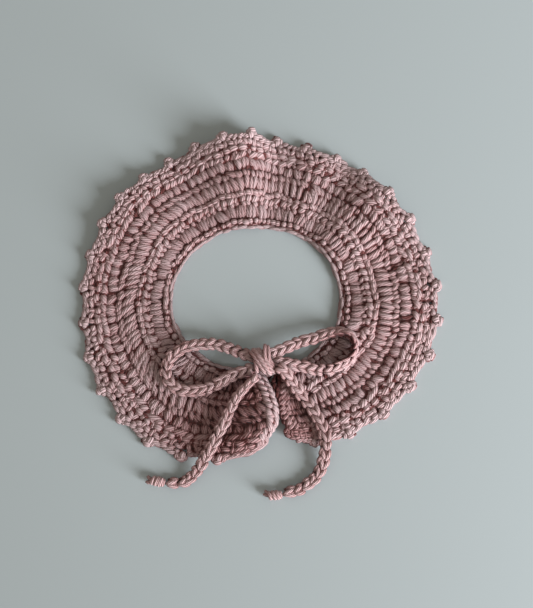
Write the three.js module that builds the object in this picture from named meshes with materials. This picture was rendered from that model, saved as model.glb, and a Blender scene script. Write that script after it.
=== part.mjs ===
// A crocheted collar, tied at the front with a bow and lying on a table.
// Sizes are in millimetres, +Z is up, the back of the neck is at +Y and the bow at -Y.
// The origin lies on the table, in the middle of the collar's outline.
import * as THREE from "three";

// Fabric
const FABRIC_THICKNESS = 3.6;
const ROW_EDGE_THICKNESS = 2.9; // a row is a little thinner where it meets the next one
const GAP = 0.3; // between neighbouring pieces
const RING_CENTRE_Y = -11.5;
const SHELL_WIDTH = 8.2; // shell stitches outside the last row
const PICOT_HEIGHT = 4.8; // how far a picot stands out beyond the shells
const FRONT_TRIM_WIDTH = 3.6; // the border where it runs up a front edge
const PICOT_COUNT = 30;
const LAST_END = PICOT_COUNT + 1; // the left front end, where the right front end is 0
const PICOT_SPACING = 19; // along the outer edge
const ROWS_WIDTH = 46; // from the neck edge to the last row's outer edge

// Cord
const CORD_WIDTH = 6.4;
const CORD_THICKNESS = 4.6;
const CORD_SIDES = 10;
const TIE_WIDTH = 3.8; // the narrow start of a cord, at the neck's front corner
const TIE_THICKNESS = 2.8;

// Colours
const BORDER_COLOUR = 0xc7a19f;
const CORD_COLOUR = 0xcfa9a6;
const COTTON_ROUGHNESS = 0.9;

// Sections across the ring. Picots are counted from the right front end to the left one, and
// angle is the place on the ring in degrees from the back of the neck, towards +X. neck and
// outer are the radii of the neck edge and of the last row's outer edge.
const SECTIONS = [
  { picot: -1, angle: 180, neck: 38.5, outer: 69 },
  { picot: 0, angle: 170, neck: 38.5, outer: 72 },
  { picot: 1, angle: 161, neck: 38.5, outer: 75.5 },
  { picot: 2, angle: 146, neck: 39, outer: 80.5 },
  { picot: 4, angle: 117, neck: 43, outer: 89.5 },
  { picot: 6, angle: 93, neck: 48, outer: 96 },
  { picot: 8, angle: 70, neck: 50.5, outer: 97 },
  { picot: 10, angle: 47, neck: 52.5, outer: 97.5 },
  { picot: 12, angle: 26.5, neck: 52.5, outer: 96.5 },
  { picot: 14, angle: 5.5, neck: 51.5, outer: 97 },
  { picot: 15, angle: -3, neck: 51.5, outer: 99 },
  { picot: 16, angle: -11.5, neck: 52.5, outer: 98.5 },
  { picot: 18, angle: -31, neck: 53.5, outer: 98 },
  { picot: 20, angle: -51, neck: 54.5, outer: 99 },
  { picot: 22, angle: -71, neck: 54, outer: 98 },
  { picot: 24, angle: -94, neck: 51.5, outer: 95.5 },
  { picot: 26, angle: -117, neck: 46, outer: 93 },
  { picot: 28, angle: -141, neck: 41, outer: 90 },
  { picot: 30, angle: -168, neck: 37, outer: 80.5 },
  { picot: 31, angle: -184, neck: 36.5, outer: 73.5 },
  { picot: 32, angle: -197, neck: 36, outer: 67 },
];

// How many degrees each front end is cut back at a share of the rows' width.
const RIGHT_END = [
  { share: 0, turn: -16 },
  { share: 0.2, turn: -9 },
  { share: 0.6, turn: -3 },
  { share: 1, turn: -5 },
];
const LEFT_END = [
  { share: 0, turn: 8 },
  { share: 0.4, turn: 0 },
  { share: 0.8, turn: -1 },
  { share: 1, turn: 4 },
];
const END_REACH = 6; // picots over which a cut-back end fades into the round

// Folds that lift the fabric off the table. Each is a smooth crest at one picot, falling to
// nothing over so many picots before and after it, with its height at the neck edge, in the
// middle of the rows and at their outer edge.
const FOLDS = [
  { picot: -0.4, before: 1, after: 2.2, neck: 1.2, middle: 1.5, outer: 2.6 },
  { picot: 6, before: 1.5, after: 1.6, neck: 1.2, middle: 2.8, outer: 0.6 },
  { picot: 10, before: 2, after: 1.6, neck: 2, middle: 4.5, outer: 6 },
  { picot: 12.4, before: 0.9, after: 1.2, neck: 0.8, middle: 1.8, outer: 2.4 },
  { picot: 15.5, before: 1.7, after: 2.8, neck: 2.4, middle: 7, outer: 10 },
  { picot: 20.2, before: 3, after: 2.6, neck: 0, middle: 3.5, outer: 5.5 },
  { picot: 31, before: 2, after: 0.5, neck: 1.4, middle: 8.5, outer: 8.5 },
];

// The rows of stitches, as shares of the rows' width.
const ROWS = [
  { name: "neck_edging", from: 0, to: 0.14, colour: 0xb08683 },
  { name: "inner_row", from: 0.14, to: 0.465, colour: 0xc29b98 },
  { name: "tall_row", from: 0.465, to: 0.735, colour: 0xc8a19e },
  { name: "outer_row", from: 0.735, to: 1, colour: 0xbf9895 },
];
const STEPS_PER_PICOT = 3;
const CORNER_STEPS = 4; // where the border turns from a front edge to the outer edge
const NEARBY = 0.01; // a small step along or across, for reading the edge's direction

// The outline of one picot, as shares of the way to the next one and of its height. Going round
// anticlockwise, it rises to a round knob, falls steeply, and climbs gently towards the next.
const PICOT_OUTLINE = [
  { way: -0.14, height: 0.85 },
  { way: 0, height: 1 },
  { way: 0.12, height: 0.82 },
  { way: 0.24, height: 0.1 },
  { way: 0.6, height: 0.22 },
  { way: 0.78, height: 0.4 },
];

// The cords' routes, laid on the fabric and the table, and the steps along each.
const LOOP_STEPS = 22;
const LEFT_TAIL_STEPS = 16;
const RIGHT_TAIL_STEPS = 18;
const TIE_STEPS = 4;
const LEFT_LOOP = [
  [-3.6, -39.6, 9.8], [-15.8, -35.4, 8.6], [-24.6, -32.4, 7.8], [-34, -32, 7.6],
  [-42.7, -33.8, 7.2], [-49.8, -38.2, 6.8], [-53.9, -44.6, 6.6], [-53.6, -51.6, 6.6],
  [-49.4, -56.6, 6.6], [-42.3, -58.9, 6.6], [-33.6, -58.3, 6.8], [-24.3, -55.2, 7.4],
  [-15.2, -50.4, 8.6], [-3.8, -46, 10],
];
const RIGHT_LOOP = [
  [9, -36.8, 10], [18.8, -32.7, 8.8], [32, -28.3, 8], [45, -24.4, 7.4],
  [52.4, -25.6, 7.2], [56.4, -31.4, 7], [54.6, -38.8, 7], [48.2, -43.7, 7],
  [39.8, -46.9, 7.2], [28, -45.7, 7.8], [19, -43.8, 9], [9.9, -42.9, 9.8],
];
const LEFT_TAIL = [
  [-0.2, -50.8, 13.2], [-7.2, -56.8, 11.4], [-12.7, -63, 10.2], [-16.9, -71.3, 9.4],
  [-21.2, -79.9, 8.9], [-26.8, -90.6, 8.4], [-31.4, -98.4, 7], [-35.6, -105, 4.6],
  [-40.4, -109.6, 2.9], [-47, -111.6, 2.7], [-53.6, -111.4, 2.7],
];
const RIGHT_TAIL = [
  [10.6, -45.2, 15], [14.8, -47.8, 14], [19.8, -54.6, 10.4], [25.6, -62.6, 7.4],
  [31.4, -69.6, 6.6], [35.8, -77.4, 6.6], [38.2, -86, 6.6], [38.2, -93.2, 6.4],
  [37, -99.6, 4.4], [34.6, -105.6, 2.9], [29.9, -111.2, 2.7], [22.6, -115.4, 2.7],
  [13.6, -117.6, 2.7],
];
const LEFT_TIE = [[3.9, -50.8, 2.5], [4.2, -47, 3.2], [4.4, -43.4, 4.2]];
const RIGHT_TIE = [[11, -49, 2.4], [9.4, -46, 4.4], [8.2, -43, 5.9]];

// Knots: middle, half sizes and the turn in plan.
const BOW_KNOT = { at: [3.2, -42.4, 11.6], half: [6.2, 9.6, 5.6], turn: 12 };
const LEFT_TAIL_KNOT = { at: [-58.4, -110.6, 3.2], half: [4.6, 3.4, 3], turn: -14 };
const RIGHT_TAIL_KNOT = { at: [8.8, -118.4, 3.2], half: [4.6, 3.4, 3], turn: 6 };
const KNOT_PROFILE_STEPS = 8;
const KNOT_SIDES = 16;

const radians = THREE.MathUtils.degToRad;

// A smooth curve through one column of a table whose rows go up in another column.
function read(table, key, column, at) {
  const last = table.length - 1;
  let i = 0;
  while (i < last - 1 && at > table[i + 1][key]) {
    i += 1;
  }
  const slope = (from, to) =>
    (table[to][column] - table[from][column]) / (table[to][key] - table[from][key]);
  const span = table[i + 1][key] - table[i][key];
  const t = THREE.MathUtils.clamp((at - table[i][key]) / span, 0, 1);
  const startSlope = slope(Math.max(i - 1, 0), i + 1) * span;
  const endSlope = slope(i, Math.min(i + 2, last)) * span;
  const t2 = t * t;
  const t3 = t2 * t;
  return (
    table[i][column] * (2 * t3 - 3 * t2 + 1) +
    startSlope * (t3 - 2 * t2 + t) +
    table[i + 1][column] * (3 * t2 - 2 * t3) +
    endSlope * (t3 - t2)
  );
}

// A point of the fabric in plan, from its picot count and its share of the rows' width.
function plan(picot, share) {
  const fromRight = THREE.MathUtils.clamp(1 - picot / END_REACH, 0, 1);
  const fromLeft = THREE.MathUtils.clamp(1 - (LAST_END - picot) / END_REACH, 0, 1);
  const angle = radians(
    read(SECTIONS, "picot", "angle", picot) +
      read(RIGHT_END, "share", "turn", share) * fromRight ** 2 +
      read(LEFT_END, "share", "turn", share) * fromLeft ** 2,
  );
  const neck = read(SECTIONS, "picot", "neck", picot);
  const outer = read(SECTIONS, "picot", "outer", picot);
  const radius = THREE.MathUtils.lerp(neck, outer, share);
  return new THREE.Vector2(
    radius * Math.sin(angle),
    radius * Math.cos(angle) + RING_CENTRE_Y,
  );
}

// The height of the fabric's underside above the table.
function lift(picot, share) {
  let height = 0;
  for (const fold of FOLDS) {
    const away = picot - fold.picot;
    const reach = away < 0 ? fold.before : fold.after;
    if (Math.abs(away) < reach) {
      const crest = 0.5 + 0.5 * Math.cos((Math.PI * away) / reach);
      const across =
        fold.neck * (1 - share) * (1 - 2 * share) +
        fold.middle * 4 * share * (1 - share) +
        fold.outer * share * (2 * share - 1);
      height += crest * Math.max(across, 0);
    }
  }
  return height;
}

// One closed body through cross-sections that all have the same number of corners.
function loft(sections) {
  const corners = sections[0].length;
  const positions = sections.flat().flatMap((point) => point.toArray());
  const faces = [];
  for (let i = 0; i < sections.length - 1; i += 1) {
    for (let j = 0; j < corners; j += 1) {
      const a = i * corners + j;
      const b = i * corners + ((j + 1) % corners);
      faces.push(a, b, a + corners, b, b + corners, a + corners);
    }
  }
  const end = (sections.length - 1) * corners;
  for (let j = 1; j < corners - 1; j += 1) {
    faces.push(0, j + 1, j, end, end + j, end + j + 1);
  }
  const geometry = new THREE.BufferGeometry();
  geometry.setAttribute("position", new THREE.Float32BufferAttribute(positions, 3));
  geometry.setIndex(faces);
  geometry.computeVertexNormals();
  return geometry;
}

// The cross-section of a band of fabric through three places, each a point in plan and a lift.
function bandSection(inner, middle, outer) {
  const at = (place, height) =>
    new THREE.Vector3(place.point.x, place.point.y, place.lift + height);
  return [
    at(inner, 0),
    at(inner, ROW_EDGE_THICKNESS),
    at(middle, FABRIC_THICKNESS),
    at(outer, ROW_EDGE_THICKNESS),
    at(outer, 0),
    at(middle, 0),
  ];
}

function rowGeometry(row) {
  const halfGap = GAP / 2 / ROWS_WIDTH;
  const from = row.from === 0 ? 0 : row.from + halfGap;
  const to = row.to === 1 ? 1 : row.to - halfGap;
  const sections = [];
  for (let step = 0; step <= LAST_END * STEPS_PER_PICOT; step += 1) {
    const picot = step / STEPS_PER_PICOT;
    const place = (share) => ({ point: plan(picot, share), lift: lift(picot, share) });
    sections.push(bandSection(place(from), place((from + to) / 2), place(to)));
  }
  return loft(sections);
}

// One place on the border's inner line: the point in plan, the way out, the border's width
// there, and how the picot count and the share change with each millimetre outwards.
function station(picot, share, out, width, picotStep, shareStep) {
  return { base: plan(picot, share), picot, share, out, width, picotStep, shareStep };
}

function borderStations() {
  const across = (picot) =>
    plan(picot, 1).sub(plan(picot, 1 - NEARBY)).normalize();
  const frontOut = (picot, share, side) => {
    const along = plan(picot, share + NEARBY).sub(plan(picot, share - NEARBY)).normalize();
    return new THREE.Vector2(along.y * side, -along.x * side);
  };
  const outerOut = (picot) => {
    const along = plan(picot + NEARBY, 1).sub(plan(picot - NEARBY, 1)).normalize();
    const out = new THREE.Vector2(along.y, -along.x);
    return out.dot(across(picot)) < 0 ? out.negate() : out;
  };
  const edgeShares = [...ROWS.flatMap((row) => [row.from, (row.from + row.to) / 2]), 1];
  const front = (picot, side) => {
    const stations = edgeShares.map((share) => {
      const out = frontOut(picot, share, side);
      return station(picot, share, out, FRONT_TRIM_WIDTH, -side / PICOT_SPACING, 0);
    });
    for (let step = 1; step < CORNER_STEPS; step += 1) {
      const turn = step / CORNER_STEPS;
      const out = frontOut(picot, 1, side).lerp(outerOut(picot), turn).normalize();
      const width = THREE.MathUtils.lerp(FRONT_TRIM_WIDTH, SHELL_WIDTH, turn);
      const picotStep = (-side * (1 - turn)) / PICOT_SPACING;
      stations.push(station(picot, 1, out, width, picotStep, turn / ROWS_WIDTH));
    }
    return stations;
  };
  const outer = [station(0, 1, outerOut(0), SHELL_WIDTH, 0, 1 / ROWS_WIDTH)];
  for (let count = 1; count <= PICOT_COUNT; count += 1) {
    for (const corner of PICOT_OUTLINE) {
      const picot = count + corner.way;
      const width = SHELL_WIDTH + PICOT_HEIGHT * corner.height;
      outer.push(station(picot, 1, outerOut(picot), width, 0, 1 / ROWS_WIDTH));
    }
  }
  outer.push(station(LAST_END, 1, outerOut(LAST_END), SHELL_WIDTH, 0, 1 / ROWS_WIDTH));
  return [...front(0, 1), ...outer, ...front(LAST_END, -1).reverse()];
}

function borderGeometry() {
  const sections = borderStations().map((place) => {
    const reach = (distance) => ({
      point: place.base.clone().addScaledVector(place.out, distance),
      lift: lift(
        place.picot + place.picotStep * distance,
        place.share + place.shareStep * distance,
      ),
    });
    return bandSection(reach(GAP), reach(place.width / 2), reach(place.width));
  });
  return loft(sections);
}

// A cord with an oval section, its broad side lying level.
function cordGeometry(route, steps, width = CORD_WIDTH, thickness = CORD_THICKNESS) {
  const section = new THREE.Shape();
  for (let side = 0; side < CORD_SIDES; side += 1) {
    const angle = (2 * Math.PI * side) / CORD_SIDES;
    const x = (thickness / 2) * Math.cos(angle);
    const y = (width / 2) * Math.sin(angle);
    if (side === 0) {
      section.moveTo(x, y);
    } else {
      section.lineTo(x, y);
    }
  }
  section.closePath();
  const path = new THREE.CatmullRomCurve3(route.map((point) => new THREE.Vector3(...point)));
  return new THREE.ExtrudeGeometry(section, { steps, extrudePath: path, bevelEnabled: false });
}

function knotGeometry(knot) {
  const profile = [];
  for (let step = 0; step <= KNOT_PROFILE_STEPS; step += 1) {
    const angle = Math.PI * (step / KNOT_PROFILE_STEPS - 0.5);
    const onAxis = step === 0 || step === KNOT_PROFILE_STEPS;
    profile.push(new THREE.Vector2(onAxis ? 0 : Math.cos(angle), Math.sin(angle)));
  }
  const geometry = new THREE.LatheGeometry(profile, KNOT_SIDES);
  geometry.rotateX(Math.PI / 2);
  geometry.scale(...knot.half);
  return geometry;
}

const collar = new THREE.Group();

function addPiece(name, geometry, color) {
  const material = new THREE.MeshStandardMaterial({ color, roughness: COTTON_ROUGHNESS });
  const mesh = new THREE.Mesh(geometry, material);
  mesh.name = name;
  collar.add(mesh);
  return mesh;
}

function addCord(name, ...cord) {
  addPiece(name, cordGeometry(...cord), CORD_COLOUR);
}

function addKnot(name, knot) {
  const mesh = addPiece(name, knotGeometry(knot), CORD_COLOUR);
  mesh.position.set(...knot.at);
  mesh.rotation.z = radians(knot.turn);
}

for (const row of ROWS) {
  addPiece(row.name, rowGeometry(row), row.colour);
}
addPiece("picot_border", borderGeometry(), BORDER_COLOUR);

addCord("left_loop", LEFT_LOOP, LOOP_STEPS);
addCord("right_loop", RIGHT_LOOP, LOOP_STEPS);
addCord("left_tail", LEFT_TAIL, LEFT_TAIL_STEPS);
addCord("right_tail", RIGHT_TAIL, RIGHT_TAIL_STEPS);
addCord("left_tie", LEFT_TIE, TIE_STEPS, TIE_WIDTH, TIE_THICKNESS);
addCord("right_tie", RIGHT_TIE, TIE_STEPS, TIE_WIDTH, TIE_THICKNESS);
addKnot("bow_knot", BOW_KNOT);
addKnot("left_tail_knot", LEFT_TAIL_KNOT);
addKnot("right_tail_knot", RIGHT_TAIL_KNOT);

export default collar;
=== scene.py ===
"""A crocheted collar in dusty pink cotton, tied at the front with a bow and lying on a table.

Every stitch is made of lengths of plied yarn, and each row of stitches is one joined mesh. Sizes
are in millimetres, as in the part's own source, and become metres where a piece is placed. Only
the table and the lights are in metres. The back of the neck is at +Y and the bow at -Y.
"""

import logging
import math
from collections.abc import Iterator, Sequence
from dataclasses import dataclass, field, fields
from enum import Enum
from typing import ClassVar

import bmesh
import bpy
import numpy as np
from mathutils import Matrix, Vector


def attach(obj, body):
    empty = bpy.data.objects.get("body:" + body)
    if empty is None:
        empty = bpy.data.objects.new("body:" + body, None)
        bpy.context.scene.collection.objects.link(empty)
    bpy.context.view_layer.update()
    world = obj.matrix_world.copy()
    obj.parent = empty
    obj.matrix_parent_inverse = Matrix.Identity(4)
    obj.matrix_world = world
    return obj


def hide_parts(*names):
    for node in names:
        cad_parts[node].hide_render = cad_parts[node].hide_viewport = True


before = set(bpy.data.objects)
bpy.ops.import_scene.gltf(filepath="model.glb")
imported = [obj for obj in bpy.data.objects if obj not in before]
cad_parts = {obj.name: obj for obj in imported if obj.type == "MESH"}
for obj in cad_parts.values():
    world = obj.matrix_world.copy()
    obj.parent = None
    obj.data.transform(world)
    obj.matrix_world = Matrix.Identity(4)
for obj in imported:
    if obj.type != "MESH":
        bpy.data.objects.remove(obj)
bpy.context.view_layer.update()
MILLIMETRE = 0.001
BODY = "root"
# A leaf's shares of its way, of its bulge and of its rise, from its first end to its last
LEAF_PROFILE = ((0, 0, 0), (0.2, 0.64, 0.75), (0.5, 1, 1), (0.8, 0.64, 0.75), (1, 0, 0))

log = logging.getLogger("crochet_collar")

Point = tuple[float, float, float]
Colour = tuple[float, float, float]
Line = tuple[Point, ...]
Curve = tuple[tuple[float, float], ...]


def smooth(keys: Sequence[float], values: Sequence, at: np.ndarray) -> np.ndarray:
    """Reads a smooth curve through values that are given at rising keys.

    Args:
        keys: Where the values are given, in rising order.
        values: One value, or one row of values, for each key.
        at: Where the curve is read.

    Returns:
        The curve's values, in the shape of at, with the values' own columns behind it.
    """
    keys = np.asarray(keys, float)
    values = np.asarray(values, float)
    at = np.asarray(at, float)
    last = len(keys) - 1
    start = np.clip(np.searchsorted(keys[1:], at), 0, last - 1)
    before = np.maximum(start - 1, 0)
    after = np.minimum(start + 2, last)
    wide = (...,) + (None,) * (values.ndim - 1)
    span = (keys[start + 1] - keys[start])[wide]
    t = np.clip((at - keys[start]) / (keys[start + 1] - keys[start]), 0, 1)[wide]
    slope_in = (values[start + 1] - values[before]) / (keys[start + 1] - keys[before])[wide]
    slope_out = (values[after] - values[start]) / (keys[after] - keys[start])[wide]
    return (
        values[start] * (2 * t**3 - 3 * t**2 + 1)
        + slope_in * span * (t**3 - 2 * t**2 + t)
        + values[start + 1] * (3 * t**2 - 2 * t**3)
        + slope_out * span * (t**3 - t**2)
    )


def unit(vectors: np.ndarray) -> np.ndarray:
    """Gives vectors the length of one."""
    return vectors / np.maximum(np.linalg.norm(vectors, axis=-1, keepdims=True), 1e-12)


def along_curve(curve: Curve, at: np.ndarray) -> np.ndarray:
    """Reads a smooth curve that is given as pairs of a place and a value."""
    places, values = zip(*curve)
    return smooth(places, values, at)


def along_line(line: np.ndarray, lengths: np.ndarray, at: np.ndarray) -> np.ndarray:
    """Reads rows of numbers that are given at lengths along a line.

    Args:
        line: The rows.
        lengths: The length up to each.
        at: The lengths at which they are read.

    Returns:
        The rows there, in the shape of at.
    """
    return np.stack([np.interp(at, lengths, part) for part in line.T], axis=-1)


def untwisted(forward: np.ndarray, outwards: np.ndarray) -> np.ndarray:
    """Carries the way sideways along lines without twisting it.

    Args:
        forward: The way ahead at each point of each line.
        outwards: The way outwards there, of which only the first point's is used.

    Returns:
        The way sideways at each point.
    """
    side = unit(np.cross(forward[:, 0], outwards[:, 0]))
    sides = []
    for ahead in np.moveaxis(forward, 1, 0):
        side = unit(side - np.sum(side * ahead, axis=1, keepdims=True) * ahead)
        sides.append(side)
    return np.stack(sides, axis=1)


def show(name: str, mesh: bpy.types.Mesh) -> bpy.types.Object:
    """Puts a mesh into the scene as a smooth object at the origin.

    Args:
        name: The object's name.
        mesh: Its mesh.

    Returns:
        The object.
    """
    mesh.shade_smooth()
    piece = bpy.data.objects.new(name, mesh)
    bpy.context.scene.collection.objects.link(piece)
    return piece


@dataclass(frozen=True)
class Section:
    """One section across the ring.

    The picots are counted from the right front end. angle is in degrees from the back of the neck
    towards +X, and neck and outer are the radii of the rows' two edges.
    """

    picot: float
    angle: float
    neck: float
    outer: float


@dataclass(frozen=True)
class Fold:
    """A fold: its crest's picot, its reach before and after, and its height at three places."""

    picot: float
    before: float
    after: float
    neck: float
    middle: float
    outer: float


@dataclass(frozen=True)
class Wave:
    """A wave in which rows stray: its share, and how fast it turns along and across them."""

    share: float
    along: float
    across: float


@dataclass(frozen=True)
class Fabric:
    """The fabric's surface. A point of it is (picot, out, up).

    out is the distance from the neck edge, of the 46 that the rows take, and up the height above
    the fabric's underside. right_end and left_end are the degrees by which the front ends are cut
    back at shares of the rows' width, less and less up to end_reach picots from the end. shades
    is painted light and shade along the collar: how much lighter the yarn is painted at picots,
    darker on the front flaps where they face away from the light and lie in shadow, and lighter
    where more light falls. stray is how far the rows stray from an even ring. rims holds the
    distances at which strands are free at the neck, and covered, and covered at the outer edge,
    and free again, where they get painted light.
    """

    thickness: float = 3.6
    rows_width: float = 46.0
    rims: tuple[float, float, float, float] = (0.5, 1.7, 52.0, 55.0)
    stray: float = 0.45
    waves: tuple[Wave, ...] = (Wave(1.0, 1.3, 3.0), Wave(0.8, 3.7, -9.0))
    ring_centre_y: float = -11.5
    last_end: float = 31.0
    end_reach: float = 6.0
    sections: tuple[Section, ...] = (
        Section(-1, 180, 38.5, 69),
        Section(0, 170, 38.5, 72),
        Section(1, 161, 38.5, 75.5),
        Section(2, 146, 39, 80.5),
        Section(4, 117, 43, 89.5),
        Section(6, 93, 48, 96),
        Section(8, 70, 50.5, 97),
        Section(10, 47, 52.5, 97.5),
        Section(12, 26.5, 52.5, 96.5),
        Section(14, 5.5, 51.5, 97),
        Section(15, -3, 51.5, 99),
        Section(16, -11.5, 52.5, 98.5),
        Section(18, -31, 53.5, 98),
        Section(20, -51, 54.5, 99),
        Section(22, -71, 54, 98),
        Section(24, -94, 51.5, 95.5),
        Section(26, -117, 46, 93),
        Section(28, -141, 41, 90),
        Section(30, -168, 37, 80.5),
        Section(31, -184, 36.5, 73.5),
        Section(32, -197, 36, 67),
    )
    right_end: Curve = ((0, -16), (0.2, -9), (0.6, -3), (1, -5))
    left_end: Curve = ((0, 8), (0.4, 0), (0.8, -1), (1, 4))
    # Painted light and shade by picot: both front flaps painted darker as shade, small lifts and
    # dips elsewhere
    shades: Curve = (
        (-1, -0.45), (0.9, -0.48), (1.8, 0), (3, 0.06), (6, -0.01), (10, 0.04), (14, 0),
        (20, -0.03), (24, 0), (26, 0.06), (27.5, 0.04), (28.8, -0.36), (30.8, -0.48), (31.05, 0),
        (32, 0),
    )
    folds: tuple[Fold, ...] = (
        Fold(-0.4, 1, 2.2, 1.2, 1.5, 2.6),
        Fold(6, 1.5, 1.6, 1.2, 2.8, 0.6),
        Fold(10, 2, 1.6, 2, 4.5, 6),
        Fold(12.4, 0.9, 1.2, 0.8, 1.8, 2.4),
        Fold(15.5, 1.7, 2.8, 2.4, 7, 10),
        Fold(20.2, 3, 2.6, 0, 3.5, 5.5),
        Fold(31, 2, 0.5, 1.4, 8.5, 8.5),
    )

    def section(self, name: str, picot: np.ndarray) -> np.ndarray:
        """Reads one size of the sections along the collar."""
        return along_curve([(row.picot, getattr(row, name)) for row in self.sections], picot)

    def plan(self, picot: np.ndarray, share: np.ndarray) -> np.ndarray:
        """Works out points in plan.

        Args:
            picot: The picot count of each point.
            share: Its share of the rows' width.

        Returns:
            The points' x and y.
        """
        from_right = np.clip(1 - picot / self.end_reach, 0, 1) ** 2
        from_left = np.clip(1 - (self.last_end - picot) / self.end_reach, 0, 1) ** 2
        angle = np.radians(
            self.section("angle", picot)
            + along_curve(self.right_end, share) * from_right
            + along_curve(self.left_end, share) * from_left
        )
        neck = self.section("neck", picot)
        radius = neck + (self.section("outer", picot) - neck) * share
        return np.stack(
            [radius * np.sin(angle), radius * np.cos(angle) + self.ring_centre_y], axis=-1
        )

    def lift(self, picot: np.ndarray, share: np.ndarray) -> np.ndarray:
        """Works out how high the folds lift the underside off the table.

        Args:
            picot: The picot count of each point.
            share: Its share of the rows' width.

        Returns:
            The heights.
        """
        height = np.zeros(np.shape(picot))
        for fold in self.folds:
            away = picot - fold.picot
            reach = np.where(away < 0, fold.before, fold.after)
            crest = 0.5 + 0.5 * np.cos(np.pi * np.clip(away / reach, -1, 1))
            # The parabola through the fold's three heights
            across = (
                fold.neck * (1 - share) * (1 - 2 * share)
                + fold.middle * 4 * share * (1 - share)
                + fold.outer * share * (2 * share - 1)
            )
            height = height + crest * np.maximum(across, 0)
        return height

    def underside(self, picot: np.ndarray, share: np.ndarray) -> np.ndarray:
        """Gives the points of the fabric's underside."""
        return np.concatenate(
            [self.plan(picot, share), self.lift(picot, share)[..., None]], axis=-1
        )

    def place(self, points: np.ndarray) -> tuple[np.ndarray, np.ndarray]:
        """Places points of the fabric.

        Args:
            points: Rows of picot, out and up.

        Returns:
            The points in the part's frame, and the fabric's upward normal at each.
        """
        step = 0.02
        picot = points[..., 0]
        share = points[..., 1] / self.rows_width
        base = self.underside(picot, share)
        along = self.underside(picot + step, share) - self.underside(picot - step, share)
        outwards = self.underside(picot, share + step) - self.underside(picot, share - step)
        normal = unit(np.cross(outwards, along))
        normal = np.where(normal[..., 2:] < 0, -normal, normal)
        return base + normal * points[..., 2:], normal

    def wander(self, points: np.ndarray) -> np.ndarray:
        """Gives how far the rows stray in and out along the collar.

        Args:
            points: Rows of picot, out and up.

        Returns:
            The distances, which are nothing at the neck and at the outer edge.
        """
        picot = points[..., 0]
        share = points[..., 1] / self.rows_width
        inside = np.clip(4 * share * (1 - share), 0, 1)
        return self.stray * inside * sum(
            wave.share * np.sin(wave.along * picot + wave.across * share) for wave in self.waves
        )

    def open_air(self, out: np.ndarray) -> np.ndarray:
        """Says how free the strands' sides are, from 0 among others to 1 at the fabric's rims, and
        so how much painted light they get.

        Args:
            out: Distances from the neck.

        Returns:
            The share for each distance.
        """
        return np.interp(out, self.rims, (1, 0, 0, 1))

    def spacing(self, picot: float, out: np.ndarray) -> np.ndarray:
        """Measures one picot's length along the fabric.

        Args:
            picot: Where along the collar.
            out: The distances from the neck edge.

        Returns:
            The lengths there.
        """
        half = 0.1
        share = np.asarray(out, float) / self.rows_width
        at = np.full(share.shape, float(picot))
        ends = self.underside(at + half, share) - self.underside(at - half, share)
        return np.linalg.norm(ends, axis=-1) / (2 * half)


@dataclass(frozen=True)
class Strand:
    """One length of yarn in a stitch, as points of (along, across, up).

    along counts stitches. across and up are millimetres: on the fabric from the neck edge and from
    the underside, and in a cord from its middle. Where a strand goes down between its neighbours
    it is squeezed, so its ends are thinner than its middle by the taper.
    """

    line: Line
    radius: float = 1.3
    tone: float = 0.0
    sections: int = 6
    taper: float = 0.45

    def samples(self, count: int) -> np.ndarray:
        """Gives that many points along the strand's smooth line."""
        last = len(self.line) - 1
        return smooth(range(last + 1), self.line, np.linspace(0, last, count))


def leaf(
    first: tuple[float, float],
    last: tuple[float, float],
    radius: float = 1.4,
    crest: float = 2.6,
    foot: float = 1.5,
    bulge: float = 0.0,
    tone: float = 0.0,
    sections: int = 6,
    taper: float = 0.45,
) -> Strand:
    """Makes a strand that comes up between two others, shows its back and goes down again.

    Args:
        first: Where it comes up, in stitches along and millimetres across.
        last: Where it goes down.
        radius: The yarn's radius at its middle.
        crest: The height of its middle.
        foot: The height of its two ends.
        bulge: How many stitches its middle is pushed sideways.
        tone: How much lighter than the rest it is.
        sections: How many lengths the strand is divided into.
        taper: The radius at its two ends, as a share of its middle's.

    Returns:
        The strand.
    """
    line = tuple(
        (
            first[0] + way * (last[0] - first[0]) + pushed * bulge,
            first[1] + way * (last[1] - first[1]),
            foot + rise * (crest - foot),
        )
        for way, pushed, rise in LEAF_PROFILE
    )
    return Strand(line, radius, tone, sections, taper)


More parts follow.
